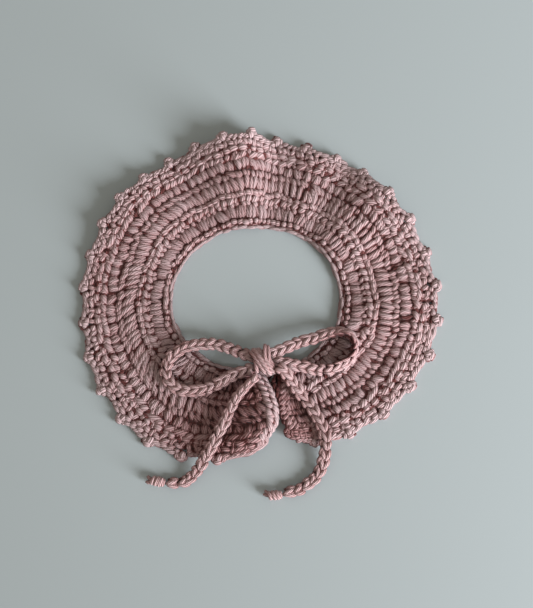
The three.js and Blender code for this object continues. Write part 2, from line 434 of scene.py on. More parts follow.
@dataclass(frozen=True)
class MasterStrand:
    """The plain straight length of yarn that every strand is a bent copy of.

    Every second side is sunk by the groove, a share of the radius, and the sides wind round it
    once in a turn. broad and flat are its half width and half height as shares of the radius, as
    the strands are pressed.
    """

    sections: int
    sides: int = 8
    groove: float = 0.1
    turn: float = 24.0
    broad: float = 1.2
    flat: float = 0.92

    def build(self) -> dict[str, np.ndarray]:
        """Makes it with its axis along Z from 0 to 1.

        Returns:
            Each vertex's ring, angle and reach, the faces, and a UV for each of their corners.
        """
        bm = bmesh.new()
        bmesh.ops.create_circle(bm, cap_ends=True, segments=self.sides, radius=1.0)
        bmesh.ops.reverse_faces(bm, faces=bm.faces[:])
        edges = bm.edges[:]
        for _ in range(self.sections):
            made = bmesh.ops.extrude_edge_only(bm, edges=edges)["geom"]
            verts = [item for item in made if isinstance(item, bmesh.types.BMVert)]
            bmesh.ops.translate(bm, verts=verts, vec=(0, 0, 1 / self.sections))
            edges = [item for item in made if isinstance(item, bmesh.types.BMEdge)
                     and all(vert in verts for vert in item.verts)]
        bmesh.ops.contextual_create(bm, geom=edges)
        bmesh.ops.recalc_face_normals(bm, faces=bm.faces[:])
        bm.verts.index_update()
        points = np.array([vert.co for vert in bm.verts], float)
        angle = np.arctan2(points[:, 1], points[:, 0])
        side = np.rint(angle / (2 * np.pi / self.sides)).astype(int) % self.sides
        # Sorted, as bmesh gives new faces in an order that isn't the same each time
        faces = sorted([vert.index for vert in face.verts] for face in bm.faces)
        bm.free()
        corners = []
        for face in faces:
            around = side[face] / self.sides
            closes_the_round = around.max() > 0.5
            around = np.where((around == 0) & closes_the_round, 1.0, around)
            corners.append(np.stack([points[face, 2], around], axis=-1))
        return {
            "ring": np.rint(points[:, 2] * self.sections).astype(int),
            "angle": side * 2 * np.pi / self.sides,
            "reach": np.where(side % 2 == 0, 1.0, 1.0 - self.groove),
            "faces": np.array([len(face) for face in faces]),
            "corners": np.concatenate([np.array(face) for face in faces]),
            "uv": np.concatenate(corners),
        }


@dataclass
class Yarn:
    """Gathers bent copies of the master strand and joins them into one mesh.

    low and high are the levels that are painted as the deepest shade and as the lightest, so that
    yarn lying low gets painted shade. dense is how many points a strand's line has, and clear how
    far it stays above the table. full is how late a strand thins towards its ends, and uneven the
    spread of the radii. side_shade is how much darker a strand's sides are painted than its back,
    as painted shade between neighbouring strands, and rim_light how much lighter all of it is
    painted where it is free, as painted light at the fabric's rims.
    """

    dense: ClassVar[int] = 26
    clear: ClassVar[float] = 0.15
    full: ClassVar[float] = 2.6
    uneven: ClassVar[float] = 0.05
    side_shade: ClassVar[float] = 0.6
    rim_light: ClassVar[float] = 1.9

    seed: int
    low: float = 0.6
    high: float = 4.2
    count: int = field(default=0, init=False)
    random: np.random.Generator = field(init=False)
    masters: dict[int, dict[str, np.ndarray]] = field(default_factory=dict, init=False)
    laid: dict[str, list[np.ndarray]] = field(init=False)

    def __post_init__(self) -> None:
        """Starts the piece's own random draws, without strands."""
        self.random = np.random.default_rng(self.seed)
        titles = ("points", "corners", "sizes", "uv", "tone", "height")
        self.laid = {title: [] for title in titles}

    def lay(
        self,
        lines: np.ndarray,
        ups: np.ndarray,
        levels: np.ndarray,
        strand: Strand,
        shades: np.ndarray,
    ) -> None:
        """Lays one copy of the master strand along each line.

        Args:
            lines: The copies' middle lines in the part's frame, one row of points for each.
            ups: The way outwards from the piece at each of those points.
            levels: How far outwards each of those points lies.
            strand: The strand that the copies show, with its radius, tone, taper and sections.
            shades: How much lighter than the strand's own tone each copy is.
        """
        master = MasterStrand(strand.sections)
        if strand.sections not in self.masters:
            self.masters[strand.sections] = master.build()
        shape = self.masters[strand.sections]
        total = len(lines)
        steps = np.linalg.norm(np.diff(lines, axis=1), axis=2)
        lengths = np.concatenate([np.zeros((total, 1)), np.cumsum(steps, axis=1)], axis=1)
        rings = strand.sections + 1
        even = lengths[:, -1:] * np.linspace(0, 1, rings)
        given = np.concatenate([lines, ups, levels[..., None]], axis=2)
        spaced = np.stack([along_line(*row) for row in zip(given, lengths, even)])
        centre, outwards, level = spaced[..., :3], spaced[..., 3:6], spaced[..., 6]
        forward = unit(np.gradient(centre, axis=1))
        across = untwisted(forward, outwards)
        above = np.cross(across, forward)
        ring = shape["ring"]
        away = np.abs(np.linspace(-1, 1, rings))
        swell = 1 - (1 - strand.taper) * away**self.full
        radii = strand.radius * self.random.normal(1, self.uneven, (total, 1))
        wind = 2 * np.pi * even / master.turn
        start = self.random.uniform(0, 2 * np.pi, (total, 1))
        angle = shape["angle"] + (wind + start)[:, ring]
        reach = shape["reach"] * swell[ring] * radii
        offset = (
            (np.cos(angle) * reach * master.broad)[..., None] * across[:, ring]
            + (np.sin(angle) * reach * master.flat)[..., None] * above[:, ring]
        )
        raised = np.sum(offset * outwards[:, ring], axis=-1)
        facing = np.clip(raised / np.linalg.norm(offset, axis=-1), 0, 1)
        # Painted shade: the colour level falls with the yarn's depth and towards each strand's
        # sides
        height = (level[:, ring] + raised - self.low) / (self.high - self.low)
        height = height - self.side_shade * (1 - facing) ** 2
        per_strand = len(ring)
        first = self.count + per_strand * np.arange(total)
        self.count += per_strand * total
        along = shape["uv"][:, 0] * lengths[:, -1:] / master.turn + start
        around = np.broadcast_to(shape["uv"][:, 1], along.shape)
        added = {
            "points": (centre[:, ring] + offset).reshape(-1, 3),
            "corners": (shape["corners"] + first[:, None]).reshape(-1),
            "sizes": np.tile(shape["faces"], total),
            "uv": np.stack([along, around], axis=-1).reshape(-1, 2),
            "tone": np.repeat(strand.tone + shades, per_strand),
            "height": height.reshape(-1),
        }
        for title, values in added.items():
            self.laid[title].append(values)

    def cover(
        self,
        fabric: Fabric,
        points: np.ndarray,
        strand: Strand,
        shades: np.ndarray,
        underneath: bool,
    ) -> None:
        """Lays copies of a strand on the fabric.

        Args:
            fabric: The fabric's surface.
            points: The copies' middle lines, as points of (picot, out, up).
            strand: The strand.
            shades: How much lighter than the strand's own tone each copy is.
            underneath: True for the underside, where the strands are pressed flat by the table.
        """
        levels = points[..., 2].copy()
        middles = points[..., 0].mean(axis=1)
        # Adds the fabric's painted light and shade along the collar to the copies' tones
        shades = shades + along_curve(fabric.shades, middles)
        if underneath:
            pressed = strand.radius + self.clear
            points[..., 2] = np.maximum(fabric.thickness - levels, pressed)
        placed, normals = fabric.place(points)
        placed[..., 2] = np.maximum(placed[..., 2], strand.radius + self.clear)
        # Painted light on the strands that are free at the fabric's rims
        levels += self.rim_light * fabric.open_air(points[..., 1])
        self.lay(placed, -normals if underneath else normals, levels, strand, shades)

    def mesh(self, name: str) -> bpy.types.Object:
        """Joins all the strands into one object.

        Args:
            name: The piece's name.

        Returns:
            The new object, linked to the scene, at the origin.
        """
        whole = {title: np.concatenate(parts) for title, parts in self.laid.items()}
        corners, sizes = whole["corners"], whole["sizes"]
        mesh = bpy.data.meshes.new(name)
        mesh.vertices.add(self.count)
        mesh.vertices.foreach_set("co", (whole["points"] * MILLIMETRE).ravel())
        mesh.loops.add(len(corners))
        mesh.loops.foreach_set("vertex_index", corners)
        mesh.polygons.add(len(sizes))
        mesh.polygons.foreach_set("loop_start", np.cumsum(sizes) - sizes)
        mesh.update(calc_edges=True)
        mesh.validate()
        mesh.uv_layers.new(name="yarn").data.foreach_set("uv", whole["uv"].ravel())
        # The tones, with their painted light and shade, and the painted shade levels go to the
        # material
        for title in ("tone", "height"):
            mesh.attributes.new(title, "FLOAT", "POINT").data.foreach_set("value", whole[title])
        return show(name, mesh)


@dataclass(frozen=True)
class Looseness:
    """How unevenly stitches are worked.

    along, across and up are the spread of the strands' places, tilt that of the way between their
    ends, sway that of their middles' sideways push, and shade that of their tone. own is how much
    of it each strand has for itself, beside what it shares with the others of its stitch.
    """

    along: float = 0.06
    across: float = 0.35
    up: float = 0.12
    sway: float = 0.06
    tilt: float = 0.2
    shade: float = 0.06
    own: float = 0.6

    def copies(
        self, strands: tuple[Strand, ...], count: int, random: np.random.Generator
    ) -> Iterator[tuple[Strand, np.ndarray, np.ndarray]]:
        """Gives uneven copies of a stitch's strands.

        Args:
            strands: The strands.
            count: How many stitches there are.
            random: The piece's random draws.

        Returns:
            Each strand with its copies' points, one row for each stitch, and how much lighter
            than the strand's own tone each copy is.
        """
        spread = np.array([self.along, self.across, self.up, self.tilt, self.sway])
        drift = random.normal(0, 1, (count, len(spread)))
        shades = random.normal(0, self.shade, count)
        way = np.linspace(0, 1, Yarn.dense)
        for strand in strands:
            moved = (drift + self.own * random.normal(0, 1, drift.shape)) * spread
            points = strand.samples(Yarn.dense)[None] + moved[:, None, :3]
            points[..., 0] += moved[:, 3:4] * (way - 0.5) + moved[:, 4:] * np.sin(np.pi * way)
            yield strand, points, shades


@dataclass(frozen=True)
class Stitches:
    """A run of equal stitches round the collar.

    begin and finish are the picot counts between which they are worked. leans says how many
    stitches they lean at picots, between the distances near and far from the neck edge. On the
    underside they are shifted along by a part of a stitch.
    """

    count: int
    strands: tuple[Strand, ...]
    leans: Curve = ()
    near: float = 0.0
    far: float = 46.0
    begin: float = 0.0
    finish: float = 31.0
    shift: float = 0.5
    loose: Looseness = Looseness()

    def work(self, yarn: Yarn, fabric: Fabric, underneath: bool) -> None:
        """Works the stitches into a piece's yarn.

        Args:
            yarn: The piece's yarn.
            fabric: The fabric's surface.
            underneath: True for the strands that show on the underside.
        """
        pitch = (self.finish - self.begin) / self.count
        shift = self.shift if underneath else 0.0
        count = self.count - math.ceil(shift)
        number = shift + np.arange(count)[:, None]
        for strand, points, shades in self.loose.copies(self.strands, count, yarn.random):
            points[..., 0] = self.begin + (points[..., 0] + number) * pitch
            points[..., 1] += fabric.wander(points)
            if self.leans:
                leaning = along_curve(self.leans, points[..., 0])
                away = (points[..., 1] - self.near) / (self.far - self.near) - 0.5
                points[..., 0] += leaning * pitch * away
            yarn.cover(fabric, points, strand, shades, underneath)


@dataclass(frozen=True)
class Trim:
    """A run of stitches up a front edge.

    along counts stitches outwards from the neck, and across is how far past the last of the rows'
    stitches a strand lies. end is the picot count of the front edge, and side is 1 where the
    count rises past it and -1 where it falls.
    """

    end: float
    side: int
    strands: tuple[Strand, ...]
    count: int = 11
    pitch: float = 4.2
    start: float = 0.0
    loose: Looseness = Looseness(along=0.06, across=0.15)

    def work(self, yarn: Yarn, fabric: Fabric, underneath: bool) -> None:
        """Works the trim into a piece's yarn.

        Args:
            yarn: The piece's yarn.
            fabric: The fabric's surface.
            underneath: True for the strands that show on the underside.
        """
        number = np.arange(self.count)[:, None]
        for strand, local, shades in self.loose.copies(self.strands, self.count, yarn.random):
            points = local.copy()
            points[..., 1] = self.start + (local[..., 0] + number) * self.pitch
            spacing = fabric.spacing(self.end, points[..., 1])
            points[..., 0] = self.end + self.side * local[..., 1] / spacing
            yarn.cover(fabric, points, strand, shades, underneath)


def work_out(
    tree: bpy.types.NodeTree, operation: str, *values: bpy.types.NodeSocket | float
) -> bpy.types.NodeSocket:
    """Adds one Math node.

    Args:
        tree: The tree it goes in.
        operation: What it works out.
        values: Its inputs, each a socket or a number.

    Returns:
        Its result.
    """
    node = tree.nodes.new("ShaderNodeMath")
    node.operation = operation
    for socket, value in zip(node.inputs, values):
        if isinstance(value, (int, float)):
            socket.default_value = value
        else:
            tree.links.new(value, socket)
    return node.outputs["Value"]


@dataclass(frozen=True)
class PlyEffect:
    """The plies and fibres of the yarn, as a node group that every cotton finish uses.

    plies is how many there are round a strand, and sharpness how narrow their ridges are. fuzz is
    how fine the fibres are, and detail how rough.
    """

    name: str = "plies of the yarn"
    plies: float = 8.0
    fuzz: float = 1100.0
    detail: float = 4.0
    sharpness: float = 0.55

    def group(self) -> bpy.types.NodeTree:
        """Builds the group once.

        Returns:
            The group. It puts out the ridges of the plies and their fibres, both from 0 to 1.
        """
        made = bpy.data.node_groups.get(self.name)
        if made:
            return made
        tree = bpy.data.node_groups.new(self.name, "ShaderNodeTree")
        for title, value in (("Plies", self.plies), ("Fuzz", self.fuzz)):
            socket = tree.interface.new_socket(title, in_out="INPUT", socket_type="NodeSocketFloat")
            socket.default_value = value
        for title in ("Ridge", "Fibre"):
            tree.interface.new_socket(title, in_out="OUTPUT", socket_type="NodeSocketFloat")
        nodes, links = tree.nodes, tree.links
        inputs = nodes.new("NodeGroupInput")
        outputs = nodes.new("NodeGroupOutput")
        place = nodes.new("ShaderNodeUVMap")
        place.uv_map = "yarn"
        split = nodes.new("ShaderNodeSeparateXYZ")
        links.new(place.outputs["UV"], split.inputs["Vector"])
        around = work_out(tree, "MULTIPLY", split.outputs["Y"], inputs.outputs["Plies"])
        turned = work_out(tree, "MULTIPLY", around, 2 * math.pi)
        wave = work_out(tree, "COSINE", turned)
        ridge = work_out(tree, "MULTIPLY_ADD", wave, 0.5, 0.5)
        rounded = work_out(tree, "POWER", ridge, self.sharpness)
        links.new(rounded, outputs.inputs["Ridge"])
        coordinates = nodes.new("ShaderNodeTexCoord")
        noise = nodes.new("ShaderNodeTexNoise")
        noise.inputs["Detail"].default_value = self.detail
        links.new(coordinates.outputs["Object"], noise.inputs["Vector"])
        links.new(inputs.outputs["Fuzz"], noise.inputs["Scale"])
        links.new(noise.outputs["Fac"], outputs.inputs["Fibre"])
        return tree


@dataclass(frozen=True)
class CottonFinish:
    """Dusty pink plied cotton, with painted shade where it lies deep between the stitches.

    light, middle and deep are its colours, from the lit tops of the strands down to the painted
    shade between them. deep lies below its stop, middle at its own and light at a height of 1. The
    plies and fibres change it by their shades, less what they do at their usual values: the ply
    ridges as painted light and the grooves between them as painted shade, the fibres as tone that
    differs at random. relief is the depth of the bump, in millimetres.
    """

    name: str
    light: Colour
    middle: Colour
    deep: Colour
    deep_stop: float = 0.02
    middle_stop: float = 0.33
    plies: float = 8.0
    ply_shade: float = 0.3
    fibre_shade: float = 0.3
    usual_ridge: float = 0.7
    usual_fibre: float = 0.5
    roughness: float = 0.88
    sheen: float = 0.1
    sheen_roughness: float = 0.6
    relief: float = 0.4
    relief_strength: float = 0.9
    fibre_relief: float = 0.4

    def material(self) -> bpy.types.Material:
        """Builds the material.

        Returns:
            The material, its colour and bump from the plies, the tone and the height.
        """
        material = bpy.data.materials.new(self.name)
        material.use_nodes = True
        tree = material.node_tree
        nodes, links = tree.nodes, tree.links
        shader = nodes["Principled BSDF"]
        shader.inputs["Roughness"].default_value = self.roughness
        shader.inputs["Sheen Weight"].default_value = self.sheen
        shader.inputs["Sheen Roughness"].default_value = self.sheen_roughness
        plies = nodes.new("ShaderNodeGroup")
        plies.node_tree = PlyEffect().group()
        plies.inputs["Plies"].default_value = self.plies
        ridge, fibre = plies.outputs["Ridge"], plies.outputs["Fibre"]
        # The height attribute carries the painted shade, and the tone attribute the tones with
        # their painted light and shade
        height = nodes.new("ShaderNodeAttribute")
        height.attribute_name = "height"
        tone = nodes.new("ShaderNodeAttribute")
        tone.attribute_name = "tone"
        total = work_out(tree, "ADD", height.outputs["Fac"], tone.outputs["Fac"])
        # Painted light on the ply ridges and painted shade in the grooves between them
        total = work_out(tree, "MULTIPLY_ADD", ridge, self.ply_shade, total)
        total = work_out(tree, "MULTIPLY_ADD", fibre, self.fibre_shade, total)
        usual = self.usual_ridge * self.ply_shade + self.usual_fibre * self.fibre_shade
        total = work_out(tree, "SUBTRACT", total, usual)
        ramp = nodes.new("ShaderNodeValToRGB")
        stops = ramp.color_ramp.elements
        stops[0].position = self.deep_stop
        stops[0].color = (*self.deep, 1)
        stops[1].position = 1.0
        stops[1].color = (*self.light, 1)
        stops.new(self.middle_stop).color = (*self.middle, 1)
        links.new(total, ramp.inputs["Fac"])
        links.new(ramp.outputs["Color"], shader.inputs["Base Color"])
        bump = nodes.new("ShaderNodeBump")
        bump.inputs["Distance"].default_value = self.relief * MILLIMETRE
        bump.inputs["Strength"].default_value = self.relief_strength
        relief = work_out(tree, "MULTIPLY_ADD", fibre, self.fibre_relief, ridge)
        links.new(relief, bump.inputs["Height"])
        links.new(bump.outputs["Normal"], shader.inputs["Normal"])
        return material


@dataclass(frozen=True)
class FloorFinish:
    """A plain pale table top."""

    name: str = "pale table"
    colour: Colour = (0.47, 0.522, 0.527)
    roughness: float = 0.7

    def material(self) -> bpy.types.Material:
        """Builds the material.

        Returns:
            The material.
        """
        material = bpy.data.materials.new(self.name)
        material.use_nodes = True
        shader = material.node_tree.nodes["Principled BSDF"]
        shader.inputs["Base Color"].default_value = (*self.colour, 1)
        shader.inputs["Roughness"].default_value = self.roughness
        return material


class Finish(Enum):
    """The finishes of the yarn."""

    FABRIC = CottonFinish(
        "crochet cotton", (0.56, 0.395, 0.395), (0.42, 0.212, 0.207), (0.12, 0.022, 0.018)
    )
    CORD = CottonFinish(
        "cord cotton", (0.64, 0.435, 0.43), (0.49, 0.24, 0.232), (0.13, 0.022, 0.018)
    )
    # Dark cotton for the sheet behind the stitches: its darkness is painted shade in the gaps
    PAINTED_SHADE_GROUND = CottonFinish(
        "deep cotton", (0.2, 0.085, 0.078), (0.15, 0.06, 0.053), (0.1, 0.037, 0.032)
    )


@dataclass
class Wardrobe:
    """Keeps one material for each finish."""

    made: dict[Finish, bpy.types.Material] = field(default_factory=dict)

    def dress(self, piece: bpy.types.Object, finish: Finish, slot: str, *nodes: str) -> None:
        """Gives a piece its material and its place in the frame.

        Args:
            piece: The piece.
            finish: Its finish.
            slot: The record's material slot; not used.
            nodes: The CAD nodes that it stands for.
        """
        if finish not in self.made:
            self.made[finish] = finish.value.material()
        piece.data.materials.append(self.made[finish])
        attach(piece, BODY)
        if nodes:
            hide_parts(*nodes)
        triangles = sum(len(face.vertices) - 2 for face in piece.data.polygons)
        log.info("%s: %d triangles", piece.name, triangles)


class FarEnd(Enum):
    """What a cord's far end is joined to."""

    OBJECT = "object"
    KNOT = "knot"


@dataclass(frozen=True)
class ChainCord:
    """A flat crocheted chain cord that lies along a route.

    pitch is about a stitch's length. The cord is a spare part of a stitch longer than its whole
    stitches, and lead is how much of that comes first. rolls says how many degrees the cord is
    turned, and widths what share of its width it has, at shares of its length. Its middle line has
    a point at every step, worked out from a number of fine ones for each point of the route. low
    and high are the levels that are painted as the deepest shade and as the lightest, so that the
    cord's lower strands get painted shade.
    """

    node: str
    seed: int
    route: Line
    far_end: FarEnd = FarEnd.OBJECT
    width: float = 6.4
    pitch: float = 5.2
    spare: float = 0.25
    lead: float = 0.2
    low: float = -1.6
    high: float = 2.4
    step: float = 0.5
    fine: int = 40
    loose: Looseness = Looseness(along=0.04, across=0.12, up=0.1, sway=0.03)
    rolls: Curve = ((0, 0), (1, 0))
    widths: Curve = ((0, 1), (1, 1))
    # The top legs have a lighter tone and the under strands a darker one, as painted light and
    # shade
    strands: tuple[Strand, ...] = (
        Strand(((-0.2, 1.7, 0.3), (0.05, 1.5, 0.9), (0.45, 0.8, 1.4), (0.85, -0.1, 1.3),
                (1.12, -0.5, 0.7)), 1.2, 0.03),
        Strand(((-0.2, -2.5, -0.2), (0.05, -2.5, 0.5), (0.45, -2.0, 1.15), (0.85, -1.2, 1.3),
                (1.12, -0.8, 0.7)), 1.2, 0.03),
        Strand(((-0.35, 1.9, 0.5), (0.05, 2.5, 0.75), (0.4, 2.75, 0.5), (0.75, 2.6, -0.3)), 1.1),
        Strand(((-0.25, 0.8, -0.8), (0.1, 0.4, -1.1), (0.6, -0.8, -1.2), (1.0, -1.7, -0.7)),
               1.1, -0.05),
        Strand(((-0.25, 0.8, -0.8), (0.1, 1.1, -1.1), (0.6, 1.9, -1.2), (1.0, 2.4, -0.7)),
               1.1, -0.05),
        Strand(((-0.2, -0.5, -0.2), (0.2, -0.6, 0.1), (0.7, -0.6, 0.1), (1.2, -0.5, -0.2)), 1.4),
    )

    def centreline(self) -> tuple[np.ndarray, np.ndarray]:
        """Works out the cord's middle line.

        Returns:
            Its points, and the length up to each.
        """
        route = np.array(self.route, float)
        # The roots of the steps keep the line from looping where the route's points crowd
        chords = np.sqrt(np.linalg.norm(np.diff(route, axis=0), axis=1))
        keys = np.concatenate([[0], np.cumsum(chords)])
        fine = smooth(keys, route, np.linspace(0, keys[-1], self.fine * len(route)))
        steps = np.linalg.norm(np.diff(fine, axis=0), axis=1)
        lengths = np.concatenate([[0], np.cumsum(steps)])
        even = np.linspace(0, lengths[-1], int(lengths[-1] / self.step) + 1)
        return along_line(fine, lengths, even), even

    def place(self, points: np.ndarray) -> tuple[np.ndarray, np.ndarray]:
        """Places points of the cord.

        Args:
            points: Rows of along, across and up, in millimetres.

        Returns:
            The points in the part's frame, and the way up at each.
        """
        line, lengths = self.centreline()
        forward = unit(np.gradient(line, axis=0))
        across = unit(np.cross(forward, (0, 0, 1)))
        above = np.cross(across, forward)
        shares = lengths / lengths[-1]
        roll = np.radians(along_curve(self.rolls, shares))[:, None]
        turned = across * np.cos(roll) + above * np.sin(roll)
        raised = above * np.cos(roll) - across * np.sin(roll)
        wide = along_curve(self.widths, shares)[:, None]
        middle, aside, up, broad = (
            along_line(part, lengths, points[..., 0]) for part in (line, turned, raised, wide)
        )
        return middle + aside * (points[..., 1:2] * broad) + up * points[..., 2:], up

    def build(self) -> bpy.types.Object:
        """Makes the cord's mesh.

        Returns:
            The cord.
        """
        yarn = Yarn(self.seed, self.low, self.high)
        _, lengths = self.centreline()
        count = max(round(lengths[-1] / self.pitch - self.spare), 1)
        pitch = lengths[-1] / (count + self.spare)
        number = self.lead * self.spare + np.arange(count)[:, None]
        for strand, points, shades in self.loose.copies(self.strands, count, yarn.random):
            points[..., 0] = np.clip((points[..., 0] + number) * pitch, 0, lengths[-1])
            placed, ups = self.place(points)
            yarn.lay(placed, ups, points[..., 2], strand, shades)
        return yarn.mesh(f"{self.node}_cord")

    def declare(self, piece: bpy.types.Object, *with_pieces: bpy.types.Object) -> None:
        """Works out the cord's middle line, and does nothing more with it.

        Args:
            piece: The cord; not used.
            with_pieces: The pieces on it; not used.
        """
        line, lengths = self.centreline()
        [value * MILLIMETRE for value in line[0]]


@dataclass(frozen=True)
class Wrap:
    """One turn of yarn round a knot: where along it, how far it slants, and the arc it covers."""

    along: float
    slant: float = 0.0
    begin: float = -60.0
    end: float = 240.0
    radius: float = 1.3
    tone: float = 0.0


@dataclass(frozen=True)
class Knot:
    """A knot of wrapped yarn, whose turns go round the axis of its long way.

    at is its middle, half its half sizes and turn the degrees from +X to its long way. The wraps
    follow a ball's outline, and slimmest keeps those near its ends from shrinking to nothing. ends
    are the cut ends of yarn that stand out of it, as points from its middle. low and high are the
    levels that are painted as the deepest shade and as the lightest, and shade is the wraps' spread
    of tone.
    """

    node: str
    seed: int
    at: Point
    half: Point
    turn: float
    wraps: tuple[Wrap, ...]
    ends: tuple[Line, ...]
    end_radius: float = 1.05
    wrap_taper: float = 0.7
    end_taper: float = 0.85
    slimmest: float = 0.2
    sections: int = 12
    low: float = -1.6
    high: float = 1.5
    shade: float = 0.04

    def build(self) -> bpy.types.Object:
        """Makes the knot's mesh.

        Returns:
            The knot.
        """
        yarn = Yarn(self.seed, self.low, self.high)
        turn = math.radians(self.turn)
        ahead = np.array([math.cos(turn), math.sin(turn), 0])
        aside = np.array([-math.sin(turn), math.cos(turn), 0])
        above = np.array([0, 0, 1])
        for wrap in self.wraps:
            angle = np.radians(np.linspace(wrap.begin, wrap.end, Yarn.dense))[:, None]
            belly = math.sqrt(max(1 - (wrap.along / self.half[0]) ** 2, self.slimmest))
            wide = (self.half[1] - wrap.radius) * belly
            tall = (self.half[2] - wrap.radius) * belly
            outwards = np.cos(angle) * aside * wide + np.sin(angle) * above * tall
            line = self.at + outwards + (wrap.along + wrap.slant * np.cos(angle)) * ahead
            strand = Strand((), wrap.radius, wrap.tone, self.sections, self.wrap_taper)
            self.wind(yarn, line, unit(outwards), strand)
        for end in self.ends:
            strand = Strand(end, self.end_radius, taper=self.end_taper)
            line = self.at + strand.samples(Yarn.dense)
            self.wind(yarn, line, np.tile(above, (Yarn.dense, 1)), strand)
        return yarn.mesh(f"{self.node}_yarn")

    def wind(self, yarn: Yarn, line: np.ndarray, ups: np.ndarray, strand: Strand) -> None:
        """Lays one strand of the knot.

        Args:
            yarn: The knot's yarn.
            line: The strand's middle line.
            ups: The way outwards at each of its points.
            strand: Its radius, tone, taper and sections.
        """
        shades = yarn.random.normal(0, self.shade, 1)
        yarn.lay(line[None], ups[None], np.zeros((1, len(line))), strand, shades)


def tail_wraps(side: int) -> tuple[Wrap, ...]:
    """Gives the turns of a knot at a tail's end.

    Args:
        side: 1 or -1, for turns that slant one way or the other.

    Returns:
        The turns.
    """
    return (
        Wrap(-2.4, 0.6 * side),
        Wrap(-0.2, 0.8 * side, radius=1.4),
        Wrap(1.9, 0.6 * side),
        Wrap(3.4, 0.2 * side, radius=1.2),
    )


# The tie's top strands have a lighter tone, as painted light
TIE_STRANDS = (
    Strand(((-0.2, 1.1, 0.0), (0.1, 1.0, 0.5), (0.5, 0.5, 0.8), (1.1, -0.2, 0.4)), 0.95, 0.05),
    Strand(((-0.2, -1.1, 0.0), (0.1, -1.0, 0.5), (0.5, -0.5, 0.8), (1.1, 0.2, 0.4)), 0.95, 0.05),
    Strand(((-0.2, 0.0, -0.6), (0.1, 0.0, -0.7), (0.6, 0.0, -0.7), (1.1, 0.0, -0.6)), 0.9),
)


